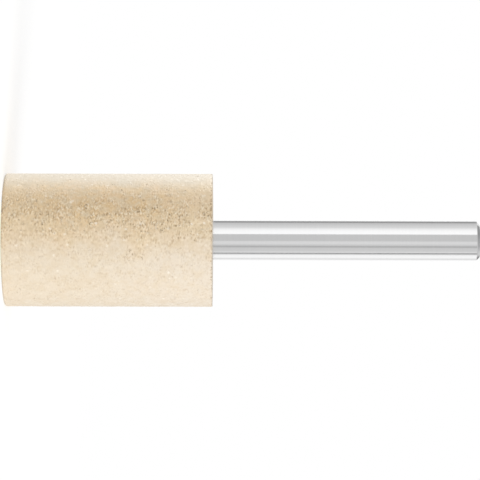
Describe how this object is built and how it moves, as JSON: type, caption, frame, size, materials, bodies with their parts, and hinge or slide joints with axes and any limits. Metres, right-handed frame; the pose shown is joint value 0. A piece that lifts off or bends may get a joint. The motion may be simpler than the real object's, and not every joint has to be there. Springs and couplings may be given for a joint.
{
  "type": "mounted point",
  "caption": "Cylindrical abrasive head with a softly rounded free edge, cemented on a plain ground steel shank that a collet grips.",
  "frame": {"origin": "centre of the flat face at the free end of the abrasive head, on which the part stands", "axes": "+Z along the spindle's axis, from the head's free end to the free end of the shank; +X and +Y are radial"},
  "size_m": [0.02, 0.02, 0.0711],
  "materials": {
    "bonded_abrasive": "matte",
    "ground_steel": "satin",
    "cement": "matte"
  },
  "bodies": {
    "root": {"abrasive_head": "bonded_abrasive", "spindle": "ground_steel", "cement": "cement"}
  },
  "joints": []
}
